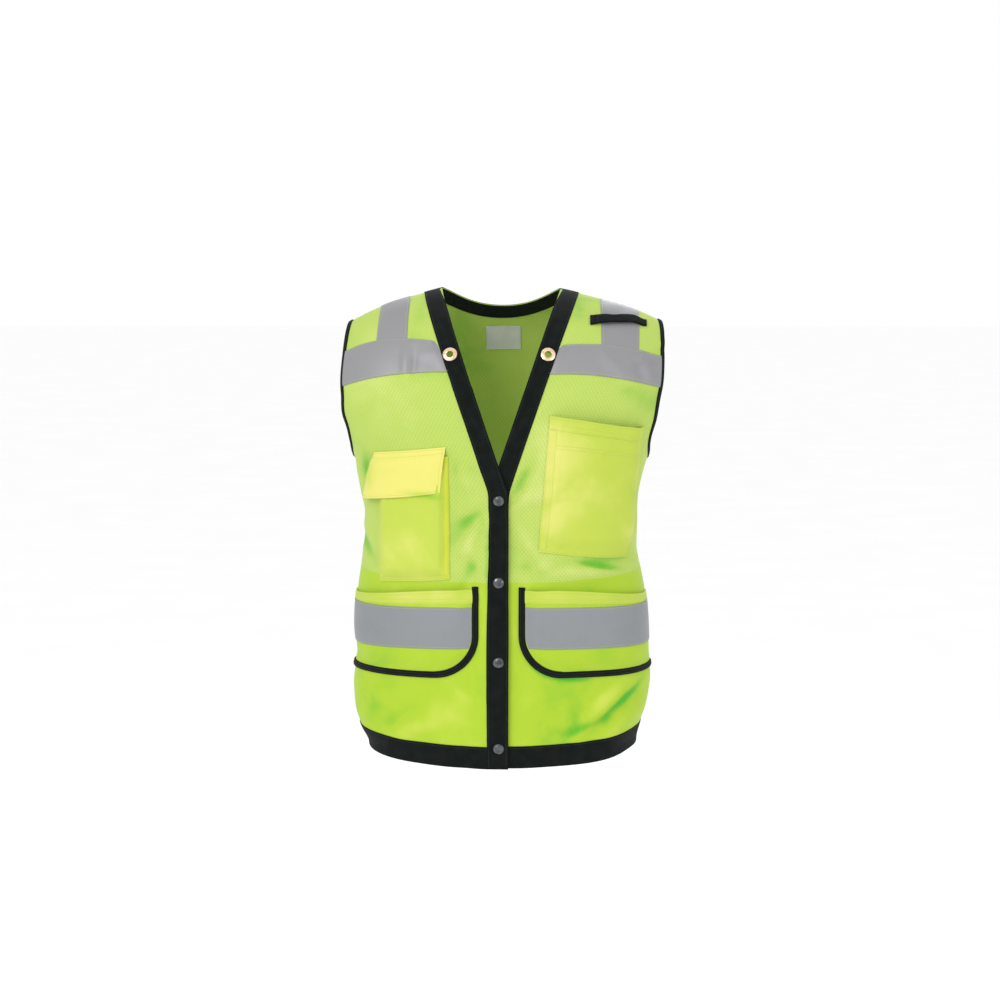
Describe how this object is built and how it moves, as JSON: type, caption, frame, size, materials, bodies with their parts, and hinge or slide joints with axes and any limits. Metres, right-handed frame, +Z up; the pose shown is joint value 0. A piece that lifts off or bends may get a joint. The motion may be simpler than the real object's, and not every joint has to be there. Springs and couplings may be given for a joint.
{
  "type": "high visibility vest",
  "caption": "Sleeveless safety vest with a snap front, reflective tape, chest and lower pockets, and a microphone tab.",
  "frame": {"origin": "centre of the neck opening, level with the tops of the shoulders", "axes": "+Z up, -Y the front, +X the wearer's left"},
  "size_m": [0.3932, 0.2477, 0.579],
  "materials": {
    "lime_cloth": "matte",
    "yellow_cloth": "matte",
    "reflective_tape": "satin",
    "black_binding": "matte",
    "black_webbing": "matte",
    "hook_and_loop": "matte",
    "white_cloth": "satin",
    "brass": "polished",
    "gunmetal": "satin"
  },
  "bodies": {
    "root": {"back_hem_band": "black_binding", "back_panel": "lime_cloth", "back_upper_tape": "reflective_tape", "back_waist_tape": "reflective_tape", "care_label": "white_cloth", "collar_band": "black_binding", "left_armhole_binding": "black_binding", "left_front_yoke": "lime_cloth", "left_shoulder_tape": "reflective_tape", "microphone_tab": "black_webbing", "right_armhole_binding": "black_binding", "right_front_yoke": "lime_cloth", "right_shoulder_tape": "reflective_tape"},
    "right_front": {"right_chest_pocket": "yellow_cloth", "right_chest_tape": "reflective_tape", "right_eyelet": "brass", "right_eyelet_washer": "brass", "right_front_arm_binding": "black_binding", "right_front_band": "black_binding", "right_front_panel": "lime_cloth", "right_hem_band": "black_binding", "right_lower_pocket": "lime_cloth", "right_lower_pocket_binding": "black_binding", "right_lower_pocket_hem": "lime_cloth", "right_waist_tape": "reflective_tape", "pen_sleeve": "yellow_cloth", "flap_loop_tape": "hook_and_loop", "snap_caps": "gunmetal", "snap_sockets": "gunmetal"},
    "left_front": {"left_chest_pocket": "yellow_cloth", "left_chest_pocket_hem": "yellow_cloth", "left_chest_tape": "reflective_tape", "left_eyelet": "brass", "left_eyelet_washer": "brass", "left_front_arm_binding": "black_binding", "left_front_band": "black_binding", "left_front_panel": "lime_cloth", "left_hem_band": "black_binding", "left_lower_pocket": "lime_cloth", "left_lower_pocket_binding": "black_binding", "left_lower_pocket_hem": "lime_cloth", "left_waist_tape": "reflective_tape", "snap_studs": "gunmetal", "snap_posts": "gunmetal"},
    "pocket_flap": {"pocket_flap_panel": "yellow_cloth", "flap_hook_tape": "hook_and_loop"}
  },
  "joints": [
    {"name": "right_front_open", "type": "hinge", "parent": "root", "child": "right_front", "pos_m": [-0.183, 0, -0.35], "axis": [0, 0, -1], "range_deg": [0, 75]},
    {"name": "left_front_open", "type": "hinge", "parent": "root", "child": "left_front", "pos_m": [0.183, 0, -0.35], "axis": [0, 0, 1], "range_deg": [0, 30]},
    {"name": "pocket_flap_lift", "type": "hinge", "parent": "right_front", "child": "pocket_flap", "pos_m": [-0.11027, -0.10809, -0.19472], "axis": [-0.9075, 0.4128, -0.077], "range_deg": [0, 120]}
  ],
  "couplings": [
    {"joint": "left_front_open", "follows": "right_front_open", "ratio": 0.4}
  ]
}
